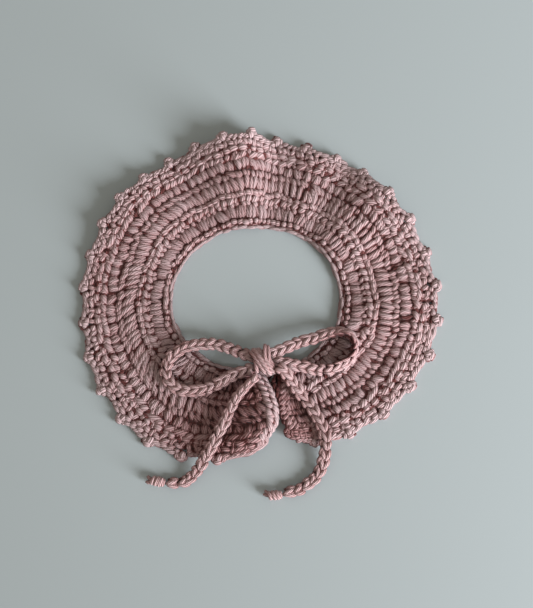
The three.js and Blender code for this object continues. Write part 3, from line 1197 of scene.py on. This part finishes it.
@dataclass(frozen=True)
class Bow:
    """The bow: two loops and two tails of cord, the knots, and the cords' short starts."""

    bow_knot: Knot = Knot(
        "bow_knot", 31, (2.4, -42.4, 11.6), (5.4, 9.6, 5.6), 12,
        (
            Wrap(-2.8, -3.0, radius=1.6),
            Wrap(-0.6, -3.4, radius=1.7, tone=0.06),
            Wrap(1.7, -3.2, radius=1.7, tone=0.02),
            Wrap(3.6, -2.0, radius=1.4, tone=-0.04),
            Wrap(-4.2, 0.6, radius=1.3),
        ),
        (
            ((1.4, 0.6, 4.4), (1.0, 4.0, 5.2), (1.0, 7.2, 4.6), (1.3, 9.4, 3.4)),
            ((3.4, -0.4, 3.8), (3.4, 3.4, 4.8), (3.1, 6.6, 4.6), (2.6, 8.8, 3.8)),
        ),
    )
    left_tail_knot: Knot = Knot(
        "left_tail_knot", 32, (-58.4, -110.6, 3.2), (4.6, 3.4, 3), -14,
        tail_wraps(1),
        (
            ((-3.0, 0.6, 0.0), (-4.4, 1.6, 0.4), (-5.6, 2.8, -0.4)),
            ((-3.0, -0.6, 0.0), (-5.0, -0.6, 0.2), (-6.4, -0.2, -0.8)),
        ),
        end_radius=0.9,
    )
    right_tail_knot: Knot = Knot(
        "right_tail_knot", 33, (8.8, -118.4, 3.2), (4.6, 3.4, 3), 6,
        tail_wraps(-1),
        (
            ((-2.6, 0.6, 0.0), (-4.2, 1.4, 0.4), (-5.2, 2.6, -0.4)),
            ((-2.6, -0.4, 0.0), (-4.6, 0.0, 0.2), (-6.0, 0.6, -0.8)),
        ),
        end_radius=0.9,
    )
    left_loop: ChainCord = ChainCord(
        "left_loop", 21,
        ((-1.6, -40.4, 9.8), (-15.8, -35.4, 8.6), (-24.6, -32.4, 7.8), (-34, -32, 7.6),
         (-42.7, -33.8, 7.2), (-49.8, -38.2, 6.8), (-53.9, -44.6, 6.6), (-53.6, -51.6, 6.6),
         (-49.4, -56.6, 6.6), (-42.3, -58.9, 6.6), (-33.6, -58.3, 6.8), (-24.3, -55.2, 7.4),
         (-15.2, -50.4, 8.6), (-1.4, -45, 10)),
    )
    right_loop: ChainCord = ChainCord(
        "right_loop", 22,
        ((6, -38.4, 10), (18.8, -32.7, 8.8), (32, -28.3, 8), (45, -24.4, 7.4), (52.4, -25.6, 7.2),
         (56.4, -31.4, 7), (54.6, -38.8, 7), (48.2, -43.7, 7), (39.8, -46.9, 7.2),
         (28, -45.7, 7.8), (19, -43.8, 9), (6.4, -42.6, 9.8)),
        rolls=((0, 0), (0.25, 10), (0.45, 70), (0.55, 70), (0.72, 20), (1, 0)),
    )
    left_tail: ChainCord = ChainCord(
        "left_tail", 23,
        ((-0.2, -50.8, 13.2), (-7.2, -56.8, 11.4), (-12.7, -63, 10.2), (-16.9, -71.3, 9.4),
         (-21.2, -79.9, 8.9), (-26.8, -90.6, 8.4), (-31.4, -98.4, 7), (-35.6, -105, 4.6),
         (-40.4, -109.6, 2.9), (-47, -111.6, 2.7), (-53.6, -111.4, 2.7)),
        FarEnd.KNOT,
        widths=((0, 0.5), (0.12, 0.6), (0.3, 0.85), (0.45, 1), (0.8, 0.95), (1, 0.8)),
    )
    right_tail: ChainCord = ChainCord(
        "right_tail", 24,
        ((10.6, -45.2, 15), (14.8, -47.8, 14), (19.8, -54.6, 10.4), (25.6, -62.6, 7.4),
         (31.4, -69.6, 6.6), (35.8, -77.4, 6.6), (38.2, -86, 6.6), (38.2, -93.2, 6.4),
         (37, -99.6, 4.4), (34.6, -105.6, 2.9), (29.9, -111.2, 2.7), (22.6, -115.4, 2.7),
         (13.6, -117.6, 2.7)),
        FarEnd.KNOT,
        widths=((0, 1), (0.8, 0.98), (1, 0.8)),
    )
    left_tie: ChainCord = ChainCord(
        "left_tie", 25, ((3.9, -50.8, 2.5), (4.2, -47, 3.2), (4.4, -43.4, 4.2)),
        strands=TIE_STRANDS,
    )
    right_tie: ChainCord = ChainCord(
        "right_tie", 26, ((11, -49, 2.4), (9.4, -46, 4.4), (8.2, -43, 5.9)),
        strands=TIE_STRANDS,
    )

    def build(self, wardrobe: Wardrobe) -> None:
        """Makes the bow's pieces.

        Args:
            wardrobe: Where the materials are kept.
        """
        made = {}
        for item in fields(self):
            maker = getattr(self, item.name)
            piece = maker.build()
            wardrobe.dress(piece, Finish.CORD, "cord_cotton", maker.node)
            made[maker.node] = piece
        self.left_loop.declare(made["left_loop"])
        self.right_loop.declare(made["right_loop"])
        self.left_tail.declare(made["left_tail"], made["left_tail_knot"])
        self.right_tail.declare(made["right_tail"], made["right_tail_knot"])


@dataclass(frozen=True)
class Ground:
    """The hidden yarn in the middle of the fabric, as one thin sheet behind the stitches, painted
    dark as the shade in the gaps between them.

    first and last are its ends' picot counts, and inner and outer its edges' distances from the
    neck edge. low is how high it lies over the fabric's underside.
    """

    name: str = "shaded_fabric_ground"
    first: float = 0.02
    last: float = 30.98
    inner: float = 1.6
    outer: float = 51.0
    low: float = 1.3
    thickness: float = 0.8
    steps_along: int = 372
    steps_across: int = 40

    def build(self, fabric: Fabric) -> bpy.types.Object:
        """Makes the sheet.

        Args:
            fabric: The fabric's surface.

        Returns:
            The sheet.
        """
        bm = bmesh.new()
        half = 0.5
        bmesh.ops.create_grid(
            bm, x_segments=self.steps_along, y_segments=self.steps_across, size=half
        )
        shares = half + np.array([vert.co for vert in bm.verts], float)
        points = np.column_stack(
            [
                self.first + shares[:, 0] * (self.last - self.first),
                self.inner + shares[:, 1] * (self.outer - self.inner),
                np.full(len(shares), self.low),
            ]
        )
        placed, _ = fabric.place(points)
        for vert, point in zip(bm.verts, placed):
            vert.co = Vector(point * MILLIMETRE)
        bmesh.ops.recalc_face_normals(bm, faces=bm.faces[:])
        if sum(face.normal.z for face in bm.faces) < 0:
            bmesh.ops.reverse_faces(bm, faces=bm.faces[:])
        bmesh.ops.solidify(bm, geom=bm.faces[:], thickness=-self.thickness * MILLIMETRE)
        mesh = bpy.data.meshes.new(self.name)
        bm.to_mesh(mesh)
        bm.free()
        return show(self.name, mesh)


@dataclass(frozen=True)
class Collar:
    """The five rows of stitches round the neck, on one fabric.

    nodes names the rows, and each row's field holds the runs of stitches that it is worked from.
    Their strands are given for one stitch: the places along count stitches, and the places across
    are distances from the neck edge. Strands that lie high or at the edges have lighter tones and
    strands that lie low darker ones, as painted light and painted shade.
    """

    nodes: ClassVar[tuple[str, ...]] = (
        "neck_edging", "inner_row", "tall_row", "outer_row", "picot_border",
    )

    seed: int = 8
    fabric: Fabric = Fabric()
    ground: Ground = Ground()
    neck_edging: tuple[Stitches, ...] = (
        Stitches(
            54,
            (
                # The hem strand has a lighter tone, as painted light on the neck edge, and the
                # strand behind it a darker one, as painted shade where it slopes into the opening
                leaf((0.0, 0.5), (1.3, 0.4), 0.95, crest=2.4, foot=1.7, tone=0.3),
                leaf((0.5, 1.9), (1.7, 1.8), 0.95, crest=1.9, foot=1.2, tone=-0.16),
            ),
        ),
        Stitches(
            46,
            (
                leaf((0.06, 3.6), (0.46, 4.3), 1.55, crest=2.8, foot=1.9, tone=0.05, taper=0.5),
                leaf((0.56, 4.2), (0.94, 3.6), 1.5, crest=2.5, foot=1.6, tone=-0.04, taper=0.5),
                leaf((0.25, 1.8), (0.25, 5.8), 1.2, crest=1.8, foot=1.4, tone=-0.12),
                leaf((0.75, 1.8), (0.75, 5.8), 1.2, crest=1.8, foot=1.4, tone=-0.12),
            ),
        ),
    )
    inner_row: tuple[Stitches, ...] = (
        Stitches(
            52,
            (
                leaf((0.3, 13.4), (0.13, 6.0), 1.05, crest=2.5, bulge=-0.06, taper=0.7, tone=0.03),
                leaf((0.42, 13.6), (0.37, 5.4), 1.1, crest=2.9, bulge=-0.03, taper=0.8, tone=0.05),
                leaf((0.58, 13.6), (0.61, 5.2), 1.1, crest=2.8, bulge=0.02, taper=0.8, tone=0.07),
                leaf((0.7, 13.4), (0.85, 5.8), 1.05, crest=2.5, bulge=0.05, taper=0.7, tone=0.03),
                leaf((0.99, 13.6), (0.99, 6.2), 1.1, crest=1.9, foot=1.4, taper=0.7, tone=-0.1),
            ),
            loose=Looseness(along=0.07, across=0.4, sway=0.07, tilt=0.2),
        ),
        Stitches(
            94,
            (
                leaf((0.14, 17.9), (0.86, 14.9), 1.7, crest=2.7, taper=0.6, tone=-0.02),
                leaf((0.62, 15.6), (0.3, 12.6), 1.4, crest=2.4, tone=-0.02),
                leaf((0.95, 18.2), (0.8, 15.4), 1.3, crest=2.2, foot=1.6, tone=-0.04),
            ),
            loose=Looseness(along=0.09, across=0.4, sway=0.08, tilt=0.25),
        ),
        Stitches(
            94,
            (
                leaf((0.16, 19.3), (0.84, 20.8), 1.75, crest=2.6, taper=0.6, tone=-0.05),
                leaf((0.0, 18.2), (0.0, 22.2), 1.5, crest=2.3, foot=1.7, tone=-0.04),
            ),
            loose=Looseness(along=0.09, across=0.4, sway=0.08, tilt=0.25),
        ),
    )
    tall_row: tuple[Stitches, ...] = (
        Stitches(
            94,
            (
                leaf((0.5, 31.4), (0.5, 21.3), 1.6, crest=2.8, bulge=-0.05, sections=7, tone=-0.03),
                leaf((0.98, 30.0), (1.0, 21.6), 1.45, crest=2.5, bulge=0.04, tone=-0.06),
                leaf((0.66, 34.0), (0.3, 29.4), 1.4, crest=2.6, tone=-0.03),
                leaf((0.12, 34.0), (-0.1, 30.0), 1.3, crest=2.4, tone=-0.06),
            ),
            leans=((0, -0.5), (4, -0.4), (9, -0.1), (14, 0.2), (19, 0.5), (21, 1.0), (24, 1.9),
                   (28, 1.7), (31, 1.0)),
            near=20.0,
            far=33.0,
            loose=Looseness(along=0.09, across=0.45, sway=0.09, tilt=0.3),
        ),
    )
    outer_row: tuple[Stitches, ...] = (
        Stitches(
            94,
            (
                leaf((0.4, 40.8), (0.32, 34.8), 1.2, crest=2.5, bulge=-0.1, taper=0.6),
                leaf((0.52, 40.9), (0.5, 34.2), 1.35, crest=2.8, taper=0.65, tone=0.02),
                leaf((0.62, 40.8), (0.68, 35.0), 1.2, crest=2.5, bulge=0.1, taper=0.6),
                leaf((0.0, 41.6), (0.0, 34.6), 1.3, crest=1.7, foot=1.2, sections=4, tone=-0.1),
            ),
            leans=((0, -0.2), (10, 0.0), (22, 0.3), (31, 0.2)),
            near=33.0,
            far=40.0,
            loose=Looseness(along=0.08, across=0.45, sway=0.08, tilt=0.25),
        ),
        Stitches(
            94,
            (
                leaf((0.12, 43.8), (0.9, 41.3), 1.8, crest=2.65, taper=0.6, tone=-0.03),
                leaf((0.02, 40.4), (-0.05, 45.2), 1.6, crest=2.3, foot=1.7, sections=4, tone=-0.05),
                leaf((0.5, 43.4), (0.52, 46.4), 1.6, crest=2.1, foot=1.7, sections=4, tone=-0.05),
            ),
            loose=Looseness(along=0.11, across=0.45, sway=0.09, tilt=0.3),
        ),
        Stitches(
            94,
            (
                leaf((0.1, 46.0), (0.92, 46.8), 1.85, crest=2.7, taper=0.55, tone=-0.02),
                leaf((0.0, 44.2), (0.0, 48.6), 1.6, crest=2.3, foot=1.7, sections=4, tone=-0.05),
                leaf((0.5, 47.0), (0.52, 49.4), 1.6, crest=2.1, foot=1.7, sections=4, tone=-0.05),
            ),
            loose=Looseness(along=0.11, across=0.45, sway=0.09, tilt=0.3),
        ),
    )
    shells: ClassVar[Stitches] = Stitches(
        31,
        (
            leaf((0.02, 48.8), (0.21, 50.8), 1.6, crest=2.8, taper=0.6),
            leaf((0.27, 51.8), (0.25, 47.6), 1.45, crest=2.7),
            leaf((0.34, 50.8), (0.54, 49.2), 1.6, crest=2.8, taper=0.6, tone=0.03),
            leaf((0.6, 51.8), (0.62, 47.6), 1.45, crest=2.7),
            leaf((0.67, 49.2), (0.87, 50.8), 1.6, crest=2.8, taper=0.6),
            leaf((0.93, 52.0), (0.95, 47.6), 1.45, crest=2.7),
            leaf((0.06, 53.2), (0.26, 52.4), 1.5, crest=2.7, tone=0.03),
            leaf((0.3, 52.0), (0.49, 52.6), 1.5),
            leaf((0.53, 52.8), (0.72, 52.0), 1.5, crest=2.7, tone=0.03),
            leaf((0.76, 52.4), (0.95, 53.4), 1.5),
            # The rim strands have lighter tones, as painted light on the rim
            leaf((0.1, 55.2), (0.4, 53.2), 1.3, crest=2.5, tone=0.12),
            leaf((0.26, 54.4), (0.56, 53.0), 1.3, crest=2.5, tone=0.08),
            leaf((0.42, 54.5), (0.72, 53.4), 1.3, crest=2.5, tone=0.12),
            leaf((0.58, 54.9), (0.88, 54.6), 1.3, crest=2.5, tone=0.08),
        ),
        shift=0.0,
        loose=Looseness(along=0.025, across=0.5, sway=0.03, tilt=0.1),
    )
    picots: ClassVar[Stitches] = Stitches(
        30,
        (
            leaf((0.03, 53.2), (0.01, 56.4), 1.75, crest=3.0, taper=0.7, tone=0.08),
            leaf((-0.1, 57.2), (0.09, 57.5), 1.55, crest=2.6, foot=1.8, taper=0.7),
            leaf((-0.11, 54.2), (-0.12, 57.2), 1.4, crest=2.4, taper=0.7, tone=-0.08),
            leaf((0.12, 54.4), (0.11, 57.0), 1.3, crest=2.3, taper=0.7, tone=-0.04),
        ),
        begin=1.0,
        shift=0.0,
        loose=Looseness(along=0.015, across=0.3, sway=0.01, tilt=0.03),
    )
    # The front edges' strands have lighter tones, as painted light where they face the light
    right_edge: ClassVar[tuple[Strand, ...]] = (
        leaf((1.0, 1.6), (0.2, -2.6), 1.4, crest=3.3, foot=2.0, tone=0.12),
        leaf((1.1, -1.6), (0.3, -5.6), 1.35, crest=3.2, foot=2.0, tone=0.08),
        leaf((-0.1, 1.2), (1.05, 1.8), 1.15, crest=2.4, tone=0.1),
    )
    left_edge: ClassVar[tuple[Strand, ...]] = (
        leaf((0.3, -0.8), (1.6, 0.8), 1.6, crest=3.1, foot=2.0, tone=0.1),
        leaf((0.0, 1.2), (1.3, 2.4), 1.6, crest=2.9, foot=1.9, tone=0.2),
        leaf((0.6, 2.8), (1.8, 3.5), 1.4, crest=2.2, foot=1.4, tone=0.16),
    )
    # Painted shadow: low strands in dark tones in the gap between the front flaps, where the table
    # lies in shade
    gap_shadow_strands: ClassVar[tuple[Strand, ...]] = (
        leaf((-0.1, 2.6), (1.2, 2.8), 1.1, crest=0.6, foot=0.3, tone=-0.4),
        leaf((0.3, 4.6), (1.6, 4.5), 1.1, crest=0.5, foot=0.3, tone=-0.4),
        leaf((0.0, 6.6), (1.3, 6.3), 1.1, crest=0.5, foot=0.3, tone=-0.4),
    )
    # The rim strands round the front corners have lighter tones, as painted light
    front_corner: ClassVar[tuple[Strand, ...]] = (
        leaf((46.2, 0.6), (52.8, 0.9), 1.4),
        leaf((46.0, 1.2), (51.6, 3.0), 1.35),
        leaf((45.4, 1.4), (48.8, 3.6), 1.3),
        leaf((53.9, -2.4), (52.8, 2.4), 1.15, crest=2.4, tone=0.14),
        leaf((53.2, 1.6), (49.6, 4.2), 1.15, crest=2.4, tone=0.14),
        leaf((50.2, 4.0), (45.8, 3.0), 1.15, crest=2.4, tone=0.14),
    )
    picot_border: tuple[Stitches | Trim, ...] = (
        shells,
        picots,
        Trim(0.0, -1, right_edge),
        Trim(0.0, -1, gap_shadow_strands, count=5, start=-2.0),
        Trim(31.0, 1, left_edge),
        Trim(0.0, -1, front_corner, count=1, pitch=1.0),
        Trim(31.0, 1, front_corner, count=1, pitch=1.0),
    )

    def build(self, wardrobe: Wardrobe) -> None:
        """Makes the rows and the ground behind them.

        Args:
            wardrobe: Where the materials are kept.
        """
        ground = self.ground.build(self.fabric)
        wardrobe.dress(ground, Finish.PAINTED_SHADE_GROUND, "crochet_cotton")
        for number, node in enumerate(self.nodes):
            yarn = Yarn(self.seed + number)
            for run in getattr(self, node):
                run.work(yarn, self.fabric, underneath=False)
                run.work(yarn, self.fabric, underneath=True)
            piece = yarn.mesh(f"{node}_stitches")
            wardrobe.dress(piece, Finish.FABRIC, "crochet_cotton", node)


@dataclass(frozen=True)
class Studio:
    """The camera, the lights and the table.

    The camera looks at its aim from the distance, and nearest is the least distance at which it
    shows anything. Its focal length is in the picture's pixels. The table's size, and the window's
    place, aim and size, are in metres.
    """

    elevation: float = 80.0
    distance: float = 500.0
    aim: Point = (4.4, -6.6, 0.0)
    focal_pixels: float = 833.3
    picture_long_side: float = 608.0
    sensor: float = 36.0
    nearest: float = 10.0
    table_size: float = 6.0
    room_colour: Colour = (1.0, 0.95, 0.86)
    room_strength: float = 0.345
    window_colour: Colour = (0.92, 0.95, 1.0)
    window_place: Point = (1.75, -1.01, 0.62)
    window_aim: Point = (1.75, 0.96, 0.0)
    window_size: float = 1.5
    window_power: float = 146.0

    def camera(self) -> None:
        """Places the camera at the photograph's viewing angle."""
        data = bpy.data.cameras.new("camera")
        data.sensor_width = self.sensor
        data.lens = self.focal_pixels * self.sensor / self.picture_long_side
        data.clip_start = self.nearest * MILLIMETRE
        camera = bpy.data.objects.new("camera", data)
        tilt = math.radians(90 - self.elevation)
        aim = Vector(self.aim) * MILLIMETRE
        back = Vector((0, -math.sin(tilt), math.cos(tilt)))
        camera.location = aim + back * self.distance * MILLIMETRE
        camera.rotation_euler = (tilt, 0, 0)
        bpy.context.scene.collection.objects.link(camera)
        bpy.context.scene.camera = camera

    def table(self) -> None:
        """Makes the pale table top."""
        bm = bmesh.new()
        bmesh.ops.create_grid(bm, x_segments=1, y_segments=1, size=self.table_size / 2)
        mesh = bpy.data.meshes.new("table")
        bm.to_mesh(mesh)
        bm.free()
        mesh.materials.append(FloorFinish().material())
        show("table", mesh)

    def lights(self) -> None:
        """Sets soft daylight from the lower right and a pale room all round."""
        data = bpy.data.lights.new("window", "AREA")
        data.shape = "DISK"
        data.size = self.window_size
        data.energy = self.window_power
        data.color = self.window_colour
        window = bpy.data.objects.new("window", data)
        window.location = self.window_place
        facing = Vector(self.window_aim) - Vector(self.window_place)
        window.rotation_euler = facing.to_track_quat("-Z", "Y").to_euler()
        bpy.context.scene.collection.objects.link(window)
        world = bpy.data.worlds.new("room")
        world.use_nodes = True
        background = world.node_tree.nodes["Background"]
        background.inputs["Color"].default_value = (*self.room_colour, 1)
        background.inputs["Strength"].default_value = self.room_strength
        bpy.context.scene.world = world
        bpy.context.scene.view_settings.view_transform = "Standard"


def main() -> None:
    """Builds the camera, the bow, the collar and the rest of the studio, in that order."""
    logging.basicConfig(level=logging.INFO, format="%(name)s %(message)s")
    studio = Studio()
    studio.camera()
    wardrobe = Wardrobe()
    Bow().build(wardrobe)
    Collar().build(wardrobe)
    studio.table()
    studio.lights()


if __name__ == "__main__":
    main()
